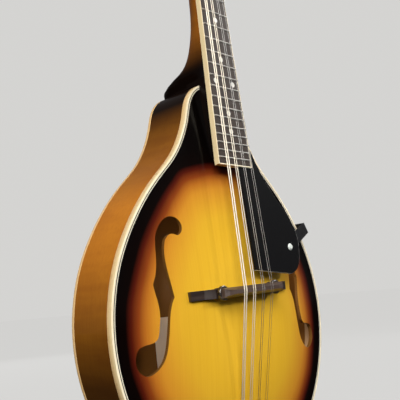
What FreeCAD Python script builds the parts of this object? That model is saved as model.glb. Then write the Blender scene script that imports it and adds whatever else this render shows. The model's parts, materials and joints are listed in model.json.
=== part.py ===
"""Eight-string A-style mandolin with f-holes, as a parametric FreeCAD document.

Millimetres, +Z up towards the headstock. The front of the instrument faces -Y and the bass side is -X.
The origin is the middle of the nut, on the fretboard's surface. The body's rim stands in planes of
constant Y. The neck leans back from it by neck_angle, and the headstock by head_angle more.
"""
import FreeCAD, Part
import Sketcher
import math
import os
from FreeCAD import Placement, Rotation
from FreeCAD import Vector as V

doc = FreeCAD.newDocument("mandolin")
X_AXIS = V(1, 0, 0)
Y_AXIS = V(0, 1, 0)
Z_AXIS = V(0, 0, 1)

# ---------------------------------------------------------------- driving dimensions
SIZES = {
    "scale_length": 352, "fret_count": 20, "neck_angle": 3.67, "head_angle": 14,
    "board_thickness": 5.5, "board_nut_width": 26.5, "board_end_width": 40.4, "board_length": 246.7,
    "binding_strip": 1.0, "fret_width": 1.5, "fret_height": 0.9, "tang_width": 0.5, "tang_depth": 2.0,
    "dot_radius": 2.5, "dot_depth": 1.2, "nut_width": 29.0, "nut_thickness": 4.5, "nut_top": 1.7,
    "rim_plane": 4.3, "body_depth": 51, "body_half_width": 128.4, "waist_level": 378,
    "lower_bout_length": 139, "bout_centre": 385, "top_arch": 15, "back_arch": 12, "arch_margin": 5,
    "top_edge": 6, "top_thickness": 3, "back_edge": 3.2, "binding_width": 2, "purfling_width": 1.8,
    "purfling_depth": 1.2, "rib_thickness": 2, "lining_width": 5, "lining_height": 9,
    "block_half_width": 30, "tail_block_half_width": 26, "tail_block_level": 497,
    "neck_block_level": 214, "tenon_half_width": 11, "tenon_level": 188, "tenon_depth": 40,
    "head_thickness": 13, "veneer_thickness": 2, "head_length": 142, "head_wide": 31, "head_narrow": 27.5,
    "first_post": 31, "post_pitch": 23.4, "post_side": 18.5, "post_radius": 3.0, "post_rise": 16.5,
    "running_gap": 0.05, "bushing_radius": 4.3, "flange_radius": 5.4, "flange_thickness": 0.9,
    "plate_thickness": 1.2, "plate_half_width": 10.5, "lug_offset": 6.4, "lug_thickness": 1.3,
    "worm_pitch": 1.9, "worm_turns": 5, "worm_root": 1.95, "worm_tip": 3.05, "worm_pitch_radius": 2.55,
    "gear_teeth": 14, "gear_face": 2.2, "gear_tip": 0.45, "gear_root": 0.65, "mesh_play": 0.06,
    "shaft_radius": 1.6, "button_start": 37.5, "button_length": 13, "button_tall": 16, "button_thick": 9,
    "truss_radius": 2.5, "truss_axis": 8.6, "truss_end": 188, "truss_nut_radius": 3.3,
    "truss_nut_length": 9, "bridge_level": 354.1, "bridge_slant": 2.0, "base_half_length": 60,
    "base_width": 7.6, "stud_offset": 33, "stud_radius": 1.75, "stud_top": 24.2, "platform": 16.2,
    "wheel_radius": 6.0, "wheel_back": 17.3, "wheel_thickness": 3.0, "saddle_half_length": 37,
    "saddle_width": 8.0, "saddle_crest": 28.4, "string_crest": 28.55, "guard_front": 1.5,
    "guard_thickness": 2.5, "guard_gap": 0.3, "strap_width": 11, "strap_thickness": 2, "strap_leg": 30,
    "tail_half_width": 22, "tail_sheet": 1.2, "cover_half_width": 25, "cover_sheet": 1.0,
    "pin_level": 30, "pin_radius": 4.5, "pin_length": 14, "pin_head_radius": 7.5,
}
sheet = doc.addObject("Spreadsheet::Sheet", "dims")
for row_number, (alias, value) in enumerate(SIZES.items(), start=1):
    cell = "B%d" % row_number
    sheet.set("A%d" % row_number, alias.replace("_", " "))
    sheet.set(cell, str(value))
    sheet.setAlias(cell, alias)
doc.recompute()


def dim(alias):
    """A driving dimension, as a number."""
    return float(sheet.get(alias))


# ---------------------------------------------------------------- frames
NECK = Placement(V(0, 0, 0), Rotation(X_AXIS, -dim("neck_angle")))
HEAD_PIVOT = V(0, 1.6, dim("nut_thickness"))
HEAD = NECK.multiply(Placement(HEAD_PIVOT, Rotation(X_AXIS, -dim("head_angle"))))
BRIDGE = Placement(V(0, 0, -dim("bridge_level")), Rotation(Y_AXIS, -dim("bridge_slant")))
RIM = dim("rim_plane")
RIM_BACK = RIM + dim("body_depth")
RIB_FRONT = RIM + dim("top_edge")
RIB_BACK = RIM_BACK - dim("back_edge")
HEAD_BACK = dim("veneer_thickness") + dim("head_thickness")
nodes = []


# ---------------------------------------------------------------- document helpers
def keep(item, label, placement=None):
    """Registers a finished sub-part under the name of its file."""
    item.Label = label
    if placement is not None:
        item.Placement = placement
    nodes.append(item)
    return item


def feature(label, shape, placement=None):
    """A sub-part whose shape Part's own functions made."""
    item = doc.addObject("Part::Feature", label)
    item.Shape = shape
    if placement is not None:
        placement = placement.multiply(shape.Placement)
    return keep(item, label, placement)


def bind(item, rules):
    """Binds properties of an object to expressions over the sheet."""
    for prop, rule in rules.items():
        item.setExpression(prop, rule)
    return item


def place(item, at):
    """Binds an object's position to three expressions."""
    return bind(item, {"Placement.Base." + axis: rule for axis, rule in zip("xyz", at)})


def box(name, size, at):
    item = doc.addObject("Part::Box", name)
    bind(item, dict(zip(("Length", "Width", "Height"), size)))
    return place(item, at)


def cylinder(name, radius, height, at, axis=Z_AXIS):
    item = doc.addObject("Part::Cylinder", name)
    item.Placement = Placement(V(0, 0, 0), Rotation(Z_AXIS, axis))
    bind(item, {"Radius": radius, "Height": height})
    return place(item, at)


def cut(name, base, tool):
    item = doc.addObject("Part::Cut", name)
    item.Base = base
    item.Tool = tool
    return item


def fuse(name, shapes):
    item = doc.addObject("Part::MultiFuse", name)
    item.Shapes = shapes
    return item


def group(name, shapes):
    item = doc.addObject("Part::Compound", name)
    item.Links = shapes
    return item


def origin_plane(body, role):
    for plane in body.Origin.OriginFeatures:
        if plane.Role == role:
            return plane
    raise ValueError(role)


def polygon_sketch(body, name, role, corners):
    """A closed outline whose corners are bound to expressions, in a plane of the body's own origin."""
    sketch = body.newObject("Sketcher::SketchObject", name)
    sketch.AttachmentSupport = [(origin_plane(body, role), "")]
    sketch.MapMode = "FlatFace"
    values = [V(float(body.evalExpression(a)), float(body.evalExpression(b)), 0) for a, b in corners]
    for number, start in enumerate(values):
        end = values[(number + 1) % len(values)]
        sketch.addGeometry(Part.LineSegment(start, end), False)
    add_corner_constraints(sketch, corners)
    return sketch


def add_corner_constraints(sketch, corners):
    """Joins the sketch's lines end to end and fixes each corner from the sheet."""
    count = len(corners)
    for number in range(count):
        following = (number + 1) % count
        sketch.addConstraint(Sketcher.Constraint("Coincident", number, 2, following, 1))
    for number, rules in enumerate(corners):
        for kind, rule in zip(("DistanceX", "DistanceY"), rules):
            amount = float(sketch.evalExpression(rule))
            index = sketch.addConstraint(Sketcher.Constraint(kind, -1, 1, number, 1, amount))
            sketch.setExpression("Constraints[%d]" % index, rule)


def padded_body(name, role, corners, length, reverse=False, both=False):
    """A PartDesign body: one polygon sketch, padded."""
    body = doc.addObject("PartDesign::Body", name)
    sketch = polygon_sketch(body, name + "_outline", role, corners)
    pad = body.newObject("PartDesign::Pad", name + "_pad")
    pad.Profile = sketch
    pad.setExpression("Length", length)
    pad.Reversed = reverse
    pad.Midplane = both
    return body


# ---------------------------------------------------------------- body outline and arching
FLANK = [(0, -168.5), (13, -170), (24, -176), (31.5, -186), (36.5, -202), (43, -219), (55, -238),
         (73, -256.5), (91, -277), (107.5, -302), (119.3, -327), (126, -352)]


def flank_curve(points, side):
    """The outline from the neck end to the widest level, on one side."""
    curve = Part.BSplineCurve()
    curve.interpolate(Points=points, InitialTangent=V(side, 0, 0), FinalTangent=V(0, 0, -1), Scale=False)
    return curve


def flank_points():
    widest = (dim("body_half_width"), -dim("waist_level"))
    return [V(x, 0, z) for x, z in FLANK + [widest]]


def outline_wire(inset):
    """The body's outline, moved inwards by inset, in the plane y = 0."""
    base = flank_points()
    curve = flank_curve(base, 1)
    right = []
    for point in base:
        along = curve.tangent(curve.parameter(point))[0]
        right.append(point + V(along.z, 0, -along.x) * inset)
    left = [V(-point.x, 0, point.z) for point in right]
    half_width = dim("body_half_width") - inset
    length = dim("lower_bout_length") - inset
    centre = V(0, 0, -dim("waist_level"))
    bout = Part.Ellipse(centre + V(0, 0, -length), centre + V(half_width, 0, 0), centre)
    bottom = Part.ArcOfEllipse(bout, -math.pi / 2, math.pi / 2)
    edges = [flank_curve(right, 1).toShape(), bottom.toShape(), flank_curve(left, -1).toShape()]
    return Part.Wire(Part.sortEdges(edges)[0])


def prism(inset, front, back):
    """The outline at an inset, from the plane y = front to the plane y = back."""
    face = Part.Face(outline_wire(inset))
    face.translate(V(0, front, 0))
    return face.extrude(V(0, back - front, 0))


def ring(outer, inner, front, back):
    """A band that follows the outline, between two insets."""
    return prism(outer, front, back).cut(prism(inner, front - 1, back + 1))


def polar_outline():
    """The outline's distance from the bout's centre, against the angle from straight up."""
    centre = -dim("bout_centre")
    pairs = []
    for point in outline_wire(0).discretize(360):
        if point.x >= -1e-6:
            angle = math.atan2(abs(point.x), point.z - centre)
            pairs.append((angle, math.hypot(point.x, point.z - centre)))
    return sorted(pairs)


POLAR = polar_outline()


def outline_distance(angle):
    for (low, near), (high, far) in zip(POLAR, POLAR[1:]):
        if low <= angle <= high and high > low:
            return near + (far - near) * (angle - low) / (high - low)
    return POLAR[0][1] if angle < POLAR[0][0] else POLAR[-1][1]


def arch_share(x, z):
    """The arching's share of its full height: 1 over the bout's centre, 0 at the edge, with a recurve."""
    up = z + dim("bout_centre")
    reach = outline_distance(math.atan2(abs(x), up)) - dim("arch_margin")
    distance = math.hypot(x, up) / reach
    if distance >= 1:
        return 0.0
    return (1 - distance ** 2.4) ** 1.6


def arched_block(level, height, depth, margin=0.0):
    """Everything behind an arched surface: y = level near the edge, standing out by height in the middle.

    Within a narrow zone along the edge the surface lies deeper by up to margin, to leave wood for gluing.
    """
    rows = []
    for step_x in range(-17, 18):
        row = []
        for z in range(-532, -155, 8):
            share = arch_share(step_x * 8.0, z)
            row.append(V(step_x * 8.0, level + height * share + margin * math.exp(-share / 0.08), z))
        rows.append(row)
    surface = Part.BSplineSurface()
    surface.interpolate(rows)
    return surface.toShape().extrude(V(0, depth, 0))


# The inner surfaces start a little beyond the plates' flat gluing faces, so that they cross them.
SINK = 0.4
TOP_OUTSIDE = arched_block(RIM, -dim("top_arch"), 40)
TOP_INSIDE = arched_block(RIM + dim("top_thickness"), -dim("top_arch"), 40,
                          RIB_FRONT + SINK - RIM - dim("top_thickness"))
BACK_OUTSIDE = arched_block(RIM_BACK, dim("back_arch"), -40)
BACK_INSIDE = arched_block(RIB_BACK - SINK, dim("back_arch") - 0.5 + SINK, -40)

# The f-hole on the treble side, as (x, z): from the inner nick over the upper lobe to the outer nick,
# and from there round the lower lobe back to the inner nick.
F_HOLE_UPPER = [(72.5, -355.5), (74.3, -345), (76.5, -330), (76, -315.5), (72.3, -307.7), (66.8, -305.3),
                (61.3, -306.3), (56.6, -300.5), (59.8, -293), (67.3, -291), (76.5, -296.3), (82.6, -306.5),
                (84.4, -320), (86.4, -335), (90.3, -344.5)]
F_HOLE_LOWER = [(90.3, -344.5), (88, -356), (86.6, -367), (87.8, -377), (91, -386.6), (98.4, -389),
                (106, -391.3), (109.3, -399), (107, -407.5), (99.6, -411.8), (91.5, -409), (85, -402),
                (81.3, -391), (79, -377), (76.5, -364), (72.5, -355.5)]


def f_hole(side):
    """A cutter for one f-hole, right through the soundboard."""
    edges = []
    for points in (F_HOLE_UPPER, F_HOLE_LOWER):
        curve = Part.BSplineCurve()
        curve.interpolate([V(side * x, -20, z) for x, z in points])
        edges.append(curve.toShape())
    return Part.Face(Part.Wire(edges)).extrude(V(0, 40, 0))


# ---------------------------------------------------------------- body
def cross_box(half_width, front, back, low, high):
    """A box across the centre line, from the level low up to the level high."""
    solid = Part.makeBox(2 * half_width, back - front, high - low)
    solid.translate(V(-half_width, front, low))
    return solid


TENON = cross_box(dim("tenon_half_width"), RIB_FRONT, RIB_FRONT + dim("tenon_depth"),
                  -dim("tenon_level"), -160)
NECK_BLOCK_ZONE = cross_box(dim("block_half_width"), RIB_FRONT, RIB_BACK, -dim("neck_block_level"), -160)
TAIL_BLOCK_ZONE = cross_box(dim("tail_block_half_width"), RIB_FRONT, RIB_BACK, -530,
                            -dim("tail_block_level"))
PIN_HOLE = Part.makeCylinder(dim("pin_radius"), 60, V(0, dim("pin_level"), -540), Z_AXIS)


def make_soundboard():
    inset = dim("binding_width")
    plate = prism(inset, -30, RIB_FRONT).common(TOP_OUTSIDE).cut(TOP_INSIDE)
    channel = ring(inset - 0.5, inset + dim("purfling_width"), RIM - 5, RIM + dim("purfling_depth"))
    plate = plate.cut(channel)
    for side in (-1, 1):
        plate = plate.cut(f_hole(side))
    feature("soundboard", plate)


def make_back_plate():
    plate = prism(dim("binding_width"), RIB_BACK, RIM_BACK + 30)
    feature("back_plate", plate.common(BACK_OUTSIDE).cut(BACK_INSIDE))


def make_ribs():
    wall = ring(0, dim("rib_thickness"), RIB_FRONT, RIB_BACK).cut(TENON).cut(PIN_HOLE)
    wall = wall.cut(Part.makeCompound(tail_end_drills() + [bracket_pilot()]))
    half = Part.makeBox(200, 100, 500, V(0, 0, -600))
    feature("rib_treble", wall.common(half))
    feature("rib_bass", wall.cut(half))


def make_linings():
    inner = dim("rib_thickness")
    for label, front in (("top_linings", RIB_FRONT), ("back_linings", RIB_BACK - dim("lining_height"))):
        strip = ring(inner, inner + dim("lining_width"), front, front + dim("lining_height"))
        feature(label, strip.cut(NECK_BLOCK_ZONE).cut(TAIL_BLOCK_ZONE).cut(bracket_pilot()))


def make_blocks():
    inside = prism(dim("rib_thickness"), RIB_FRONT, RIB_BACK)
    feature("neck_block", inside.common(NECK_BLOCK_ZONE).cut(TENON))
    tail = inside.common(TAIL_BLOCK_ZONE).cut(PIN_HOLE)
    feature("tail_block", tail.cut(Part.makeCompound(tail_end_drills())))


def make_tone_bars():
    bars = []
    for side in (-1, 1):
        bar = Part.makeBox(6, 22, 190, V(-3, -15, -95))
        bar.Placement = Placement(V(side * 37, 0, -352), Rotation(Y_AXIS, side * 6))
        bars.append(bar.common(TOP_INSIDE))
    feature("tone_bars", Part.makeCompound(bars))


def make_edging():
    width = dim("binding_width")
    feature("top_binding", ring(0, width, RIM, RIB_FRONT))
    feature("back_binding", ring(0, width, RIB_BACK, RIM_BACK))
    strip = ring(width, width + dim("purfling_width"), RIM, RIM + dim("purfling_depth"))
    feature("top_purfling", strip)


def make_end_pin():
    """A turned strap button: a plain shaft in the tail block and a waisted head outside."""
    seat = -dim("waist_level") - dim("lower_bout_length") - 1.5
    radius = dim("pin_radius")
    head = dim("pin_head_radius")
    half = [(0, dim("pin_length")), (radius, dim("pin_length")), (radius, 0), (7, 0), (7, -1.5),
            (radius, -3), (radius, -8.5), (head, -10.5), (head, -13.5), (head - 1.5, -14.8), (0, -15.2)]
    points = [V(r, dim("pin_level"), seat + z) for r, z in half]
    face = Part.Face(Part.makePolygon(points + points[:1]))
    feature("end_pin", face.revolve(V(0, dim("pin_level"), 0), Z_AXIS, 360))


# ---------------------------------------------------------------- neck
# Level along the neck, half-widths at the front, the middle and the back, the back's share, the depth.
NECK_SECTIONS = [(12, 13.2, 11.6, 7.2, 0.86, 16.8), (0, 14.4, 13.0, 8.6, 0.86, 19.3),
                 (-60, 16.2, 14.7, 9.6, 0.86, 21.4), (-100, 17.3, 15.8, 10.4, 0.86, 22.6),
                 (-112, 17.7, 16.1, 10.7, 0.86, 24.2), (-124, 18.0, 16.4, 10.9, 0.87, 27.4),
                 (-134, 18.2, 16.6, 11.1, 0.88, 31.3), (-141, 18.4, 16.8, 11.4, 0.89, 35.2),
                 (-146, 18.6, 17.0, 11.7, 0.90, 39.6), (-150, 18.9, 17.2, 11.9, 0.91, 45.6),
                 (-154, 19.2, 17.4, 12.2, 0.92, 57.0), (-158, 19.3, 17.2, 11.6, 0.92, 68.5),
                 (-162, 19.5, 15.8, 9.8, 0.92, 76.0), (-168, 20.0, 14.0, 8.0, 0.92, 79.0),
                 (-190, 21.4, 13.6, 7.6, 0.92, 81.0)]


def neck_section(level, front, middle, back, share, depth):
    """A U-shaped section under the fretboard, closed by a straight edge a little over the glue line."""
    glue = dim("board_thickness")
    drop = depth - glue
    half = [(front, glue - 1.5), (middle, glue + 0.45 * drop), (back, glue + share * drop)]
    points = [V(x, y, level) for x, y in half] + [V(0, depth, level)]
    points += [V(-x, y, level) for x, y in reversed(half)]
    curve = Part.BSplineCurve()
    curve.interpolate(points)
    return Part.Wire([curve.toShape(), Part.LineSegment(points[-1], points[0]).toShape()])


def slope_between(before, after):
    """A slope for a monotone curve: the harmonic mean, or level at a turning point."""
    return 2 * before * after / (before + after) if before * after > 0 else 0.0


def monotone(places, values, at):
    """A smooth curve through the values that doesn't overshoot them."""
    spans = [b - a for a, b in zip(places, places[1:])]
    rises = [(b - a) / span for a, b, span in zip(values, values[1:], spans)]
    inner = [slope_between(a, b) for a, b in zip(rises, rises[1:])]
    slopes = [rises[0]] + inner + [rises[-1]]
    for number, span in enumerate(spans):
        share = (at - places[number]) / span
        if 0 <= share <= 1:
            a, b = values[number], values[number + 1]
            fall = 1 - share
            steep = slopes[number] * fall - slopes[number + 1] * share
            return (a * fall * fall * (1 + 2 * share) + b * share * share * (3 - 2 * share)
                    + share * fall * span * steep)
    return values[-1]


def neck_solid():
    """The shaft and heel as a stack of ruled bands, closer together where the heel turns."""
    levels = [row[0] for row in reversed(NECK_SECTIONS)]
    columns = list(zip(*reversed(NECK_SECTIONS)))[1:]
    steps = [12, 0, -30, -60, -86, -100, -108, -114] + [-118 - 3.0 * number for number in range(22)]
    sections = []
    for level in steps:
        sections.append(neck_section(level, *[monotone(levels, column, level) for column in columns]))
    return Part.makeLoft(sections, True, True)


def head_outline(shrink):
    """The headstock's outline in its own plane, as a closed wire at y = 0."""
    wide = dim("head_wide") - shrink
    narrow = dim("head_narrow") - shrink
    top = dim("head_length") - shrink
    start = dim("nut_width") / 2 + 0.7 - shrink
    side = [V(start, 0, 0), V(start + 1.5, 0, 6), V(wide - 2, 0, 17), V(wide, 0, 27)]
    upper = [V(narrow, 0, top - 16), V(narrow - 7, 0, top - 5), V(12, 0, top - 1.5), V(0, 0, top - 4)]
    edges = []
    for sign in (1, -1):
        low = Part.BSplineCurve()
        low.interpolate([V(sign * p.x, 0, p.z) for p in side])
        high = Part.BSplineCurve()
        high.interpolate([V(sign * p.x, 0, p.z) for p in upper])
        straight = Part.LineSegment(V(sign * wide, 0, 27), V(sign * narrow, 0, top - 16))
        edges += [low.toShape(), straight.toShape(), high.toShape()]
    edges.append(Part.LineSegment(V(-start, 0, 0), V(start, 0, 0)).toShape())
    return Part.Wire(Part.sortEdges(edges)[0])


def head_slab(front, thickness):
    face = Part.Face(head_outline(0))
    face.translate(V(0, front, 0))
    return face.extrude(V(0, thickness, 0))


def post_places():
    """Centres of the eight posts in the headstock's frame: bass side first, counted from the nut."""
    levels = [dim("first_post") + number * dim("post_pitch") for number in range(4)]
    return [(side, side * dim("post_side"), level) for side in (-1, 1) for level in levels]


def post_drills(radius, front, back):
    drills = []
    for _, x, level in post_places():
        drills.append(Part.makeCylinder(radius, back - front, V(x, front, level), Y_AXIS))
    return drills


def truss_pocket():
    """The opening under the truss rod cover, in the headstock's frame."""
    return Part.makeBox(9, 13, 20, V(-4.5, -1, -1))


def board_side_cutters():
    """Trims the heel flush with the fretboard's binding where it stands in front of the rim's plane."""
    cutters = []
    for side in (-1, 1):
        upper = side * (board_half_width(-138) + dim("binding_strip"))
        lower = side * (board_half_width(-235) + dim("binding_strip"))
        corners = [V(upper, -40, -138), V(side * 60, -40, -138), V(side * 60, -40, -235),
                   V(lower, -40, -235)]
        wedge = Part.Face(Part.makePolygon(corners + corners[:1])).extrude(V(0, 90, 0))
        wedge.Placement = NECK
        front = Part.makeBox(200, 60, 400, V(-100, RIM - 60, -400))
        cutters.append(wedge.common(front))
    return Part.makeCompound(cutters)


def make_neck():
    """Shaft, heel, headstock and the block that carries the fretboard over the soundboard."""
    shaft = neck_solid()
    glue = dim("board_thickness")
    riser_face = Part.makePolygon([V(-17, glue, -165), V(17, glue, -165), V(14.5, glue, -238),
                                   V(-14.5, glue, -238), V(-17, glue, -165)])
    riser = Part.Face(riser_face).extrude(V(0, 25, 0))
    channel = Part.makeBox(2 * dim("truss_radius") + 0.6, 6.4, dim("truss_end") + 14,
                           V(-dim("truss_radius") - 0.3, glue, -dim("truss_end")))
    shaft.Placement = NECK
    riser.Placement = NECK
    channel.Placement = NECK
    head = head_slab(dim("veneer_thickness"), dim("head_thickness"))
    head = head.cut(Part.makeCompound(post_drills(dim("bushing_radius"), 0, HEAD_BACK + 1)))
    pocket = truss_pocket()
    head.Placement = HEAD
    pocket.Placement = HEAD
    behind = Part.makeBox(200, 60, 400, V(-100, RIM_BACK, -400))
    over = Part.makeBox(120, 30, 260, V(-60, glue - 30, -230))
    over.Placement = NECK
    heel = shaft.cut(over).cut(prism(0, -40, RIM_BACK + 20)).cut(behind).cut(board_side_cutters())
    riser = riser.cut(prism(0, -30, 40).common(TOP_OUTSIDE)).cut(behind)
    nut_seat = Part.makeBox(60, 20, dim("nut_thickness") + 10, V(-30, glue - 20, -10))
    nut_seat.Placement = NECK
    body = heel.fuse(riser).fuse(head.cut(nut_seat)).fuse(TENON_FILL)
    pilots = Part.makeCompound(cover_screw_pilots() + plate_screw_pilots())
    pilots.Placement = HEAD
    feature("neck", body.cut(pocket).cut(channel).cut(pilots))


TENON_FILL = cross_box(dim("tenon_half_width"), RIB_FRONT, RIB_FRONT + dim("tenon_depth"),
                       -dim("tenon_level"), -168)


def fret_level(number):
    return -dim("scale_length") * (1 - 2 ** (-number / 12))


def board_half_width(level):
    """Half-width of the fretboard's wood at a level along the neck."""
    grow = (dim("board_end_width") - dim("board_nut_width")) / dim("board_length")
    return (dim("board_nut_width") - level * grow) / 2


DOTS = [(3, 0), (5, 0), (7, 0), (10, 0), (12, -11), (12, 11), (15, 0), (17, 0)]


def dot_solids():
    solids = []
    for number, x in DOTS:
        level = (fret_level(number) + fret_level(number - 1)) / 2
        solids.append(Part.makeCylinder(dim("dot_radius"), dim("dot_depth"), V(x, 0, level), Y_AXIS))
    return solids


def fret_solids():
    """Each fret: a half-round crown on the board and a tang in its slot."""
    solids = []
    for number in range(1, int(dim("fret_count")) + 1):
        level = fret_level(number)
        half = board_half_width(level)
        crown = Part.makeCylinder(dim("fret_width") / 2, 2 * half, V(-half, 0, level), X_AXIS)
        proud = Part.makeBox(2 * half, dim("fret_height"), 4, V(-half, -dim("fret_height"), level - 2))
        tang = Part.makeBox(2 * half, dim("tang_depth"), dim("tang_width"),
                            V(-half, 0, level - dim("tang_width") / 2))
        solids.append(crown.common(proud).fuse(tang).removeSplitter())
    return solids


def make_fretboard():
    """The board is a padded trapezoid; slots and inlay seats are cut from it."""
    nut_half = "dims.board_nut_width / 2"
    end_half = "dims.board_end_width / 2"
    corners = [("-" + nut_half, "0"), (nut_half, "0"), (end_half, "-dims.board_length"),
               ("-" + end_half, "-dims.board_length")]
    blank = padded_body("board_blank", "XZ_Plane", corners, "dims.board_thickness", reverse=True)
    cutters = doc.addObject("Part::Feature", "board_cutters")
    slots = []
    for number in range(1, int(dim("fret_count")) + 1):
        slots.append(Part.makeBox(60, dim("tang_depth") + 1, dim("tang_width"),
                                  V(-30, -1, fret_level(number) - dim("tang_width") / 2)))
    cutters.Shape = Part.makeCompound(slots + dot_solids())
    keep(cut("fretboard", blank, cutters), "fretboard", NECK)
    feature("frets", Part.makeCompound(fret_solids()), NECK)
    feature("position_dots", Part.makeCompound(dot_solids()), NECK)


def make_fretboard_binding():
    """A strip on both sides and across the end of the board."""
    strip = "dims.binding_strip"
    nut_half = "dims.board_nut_width / 2"
    end_half = "dims.board_end_width / 2"
    outer = [("-%s - %s" % (nut_half, strip), "0"), ("%s + %s" % (nut_half, strip), "0"),
             ("%s + %s" % (end_half, strip), "-dims.board_length - %s" % strip),
             ("-%s - %s" % (end_half, strip), "-dims.board_length - %s" % strip)]
    inner = [("-" + nut_half, "0"), (nut_half, "0"), (end_half, "-dims.board_length"),
             ("-" + end_half, "-dims.board_length")]
    frame = padded_body("binding_blank", "XZ_Plane", outer, "dims.board_thickness", reverse=True)
    core = padded_body("binding_core", "XZ_Plane", inner, "dims.board_thickness", reverse=True)
    keep(cut("fretboard_binding", frame, core), "fretboard_binding", NECK)


# ---------------------------------------------------------------- strings
# Course name, string radius, places across the nut and across the saddle, and the two posts.
COURSES = [("course_g", 0.50, (-11.6, -9.4), (-18.4, -15.8), (0, 1)),
           ("course_d", 0.33, (-4.9, -2.7), (-7.1, -4.6), (2, 3)),
           ("course_a", 0.20, (2.7, 4.9), (4.6, 7.1), (7, 6)),
           ("course_e", 0.15, (9.4, 11.6), (15.8, 18.4), (5, 4))]
WIND_FRONT = -7.0
WIND_RADIUS = 3.9
HOOK_LEVEL = -476.0
HOOK_DEPTH = -6.9
# The strings draw in a little from the saddle to the hooks.
HOOK_SPREAD = 0.83


def string_points(radius, at_nut, at_saddle, post):
    """Tailpiece hook, saddle, both edges of the nut, and the tangent point on the winding."""
    hook = V(at_saddle * HOOK_SPREAD, HOOK_DEPTH, HOOK_LEVEL)
    level = -dim("bridge_level") - at_saddle * math.tan(math.radians(-dim("bridge_slant")))
    saddle = V(at_saddle, -dim("string_crest") - radius * 0.5, level)
    nut_low = NECK.multVec(V(at_nut, -1.0 - radius, 0.2))
    nut_high = NECK.multVec(V(at_nut * 1.01, -0.8 - radius, dim("nut_thickness") - 0.2))
    side, x, post_level = post_places()[post]
    reach = WIND_RADIUS + radius + 0.06
    start = HEAD.inverse().multVec(nut_high)
    run_x = x - start.x
    run_z = post_level - start.z
    distance = math.hypot(run_x, run_z)
    toward = math.atan2(run_z, run_x)
    offset = math.asin(reach / distance) * side
    length = math.sqrt(distance ** 2 - reach ** 2)
    touch = V(start.x + length * math.cos(toward + offset), WIND_FRONT,
              start.z + length * math.sin(toward + offset))
    return [hook, saddle, nut_low, nut_high, HEAD.multVec(touch)]


def bent_tube(points, radius, bend):
    """Straight runs joined by tangent arcs of the radius bend, swept as one round tube."""
    edges = []
    start = points[0]
    for before, corner, after in zip(points, points[1:], points[2:]):
        back = (before - corner).normalize()
        ahead = (after - corner).normalize()
        turn = math.pi - back.getAngle(ahead)
        trim = bend * math.tan(turn / 2)
        entry = corner + back * trim
        leave = corner + ahead * trim
        middle = (back + ahead).normalize()
        centre = corner + middle * (bend / math.cos(turn / 2))
        edges.append(Part.LineSegment(start, entry).toShape())
        edges.append(Part.Arc(entry, centre - middle * bend, leave).toShape())
        start = leave
    edges.append(Part.LineSegment(start, points[-1]).toShape())
    path = Part.Wire(edges)
    along = (points[1] - points[0]).normalize()
    profile = Part.Wire([Part.makeCircle(radius, points[0], along)])
    return path.makePipeShell([profile], True, False)


def string_solid(number, course):
    _, radius, nut_places, saddle_places, posts = course
    points = string_points(radius, nut_places[number], saddle_places[number], posts[number])
    return bent_tube(points, radius, 6.0)


def make_strings():
    for course in COURSES:
        pair = [string_solid(number, course) for number in (0, 1)]
        feature(course[0], Part.makeCompound(pair))


def string_slots(clearance):
    """Cylinders along the strings' straight runs over the nut and the saddle, slightly oversize."""
    cutters = []
    for _, radius, nut_places, saddle_places, posts in COURSES:
        for number in (0, 1):
            points = string_points(radius, nut_places[number], saddle_places[number], posts[number])
            for start, end in zip(points, points[1:]):
                cutters.append(Part.makeCylinder(radius + clearance, (end - start).Length, start,
                                                 end - start))
            for point in points[1:4]:
                cutters.append(Part.makeSphere(radius + clearance, point))
    return cutters


def make_nut():
    """A bone block with a slot for each string."""
    half = dim("nut_width") / 2
    block = Part.makeBox(2 * half, dim("board_thickness") + dim("nut_top"), dim("nut_thickness"),
                         V(-half, -dim("nut_top"), 0))
    block.Placement = NECK
    feature("nut", block.cut(Part.makeCompound(string_slots(0.02))))


# ---------------------------------------------------------------- headstock fittings
def make_headstock_veneer():
    veneer = head_slab(0, dim("veneer_thickness"))
    veneer = veneer.cut(Part.makeCompound(post_drills(dim("bushing_radius"), -1, HEAD_BACK)))
    nut_block = Part.makeBox(60, 20, dim("nut_thickness") + 10, V(-30, -10, -10))
    local_nut = nut_block.copy()
    local_nut.Placement = HEAD.inverse().multiply(NECK)
    veneer = veneer.cut(truss_pocket()).cut(local_nut).cut(Part.makeCompound(cover_screw_pilots()))
    feature("headstock_veneer", veneer, HEAD)


def make_truss_rod():
    """A round steel bar in the neck's channel and a barrel nut on its upper end."""
    rod = cylinder("rod", "dims.truss_radius", "dims.truss_end + 6",
                   ("0", "dims.truss_axis", "-dims.truss_end"))
    keep(group("rod_group", [rod]), "truss_rod", NECK)
    barrel = cylinder("barrel", "dims.truss_nut_radius", "dims.truss_nut_length",
                      ("0", "dims.truss_axis", "5"))
    bore = cylinder("bore", "dims.truss_radius + dims.running_gap", "2", ("0", "dims.truss_axis", "4.5"))
    socket = cylinder("socket", "2", "6", ("0", "dims.truss_axis", "9.5"))
    keep(cut("truss_rod_nut", barrel, group("nut_bores", [bore, socket])), "truss_rod_nut", NECK)


COVER_SCREWS = [(-7.5, 9.0), (7.5, 9.0), (0.0, 37.0)]
COVER_SHANK = 0.9
PLATE_SHANK = 1.1
SCREW_LENGTH = 8.0


def cover_screw_pilots():
    """Holes for the cover's screws, through the cover and the veneer into the headstock."""
    return [Part.makeCylinder(COVER_SHANK, 9, V(x, -2.5, level), Y_AXIS) for x, level in COVER_SCREWS]


def screw(x, level, seat, radius, shank, length):
    """A countersunk-style screw in the headstock's frame: a low domed head and a plain shank."""
    head = Part.makeSphere(radius * 1.6, V(x, seat + radius * 1.25, level))
    head = head.common(Part.makeCylinder(radius, radius, V(x, seat - radius, level), Y_AXIS))
    return head.fuse(Part.makeCylinder(shank, length, V(x, seat - 0.05, level), Y_AXIS)).removeSplitter()


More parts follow.
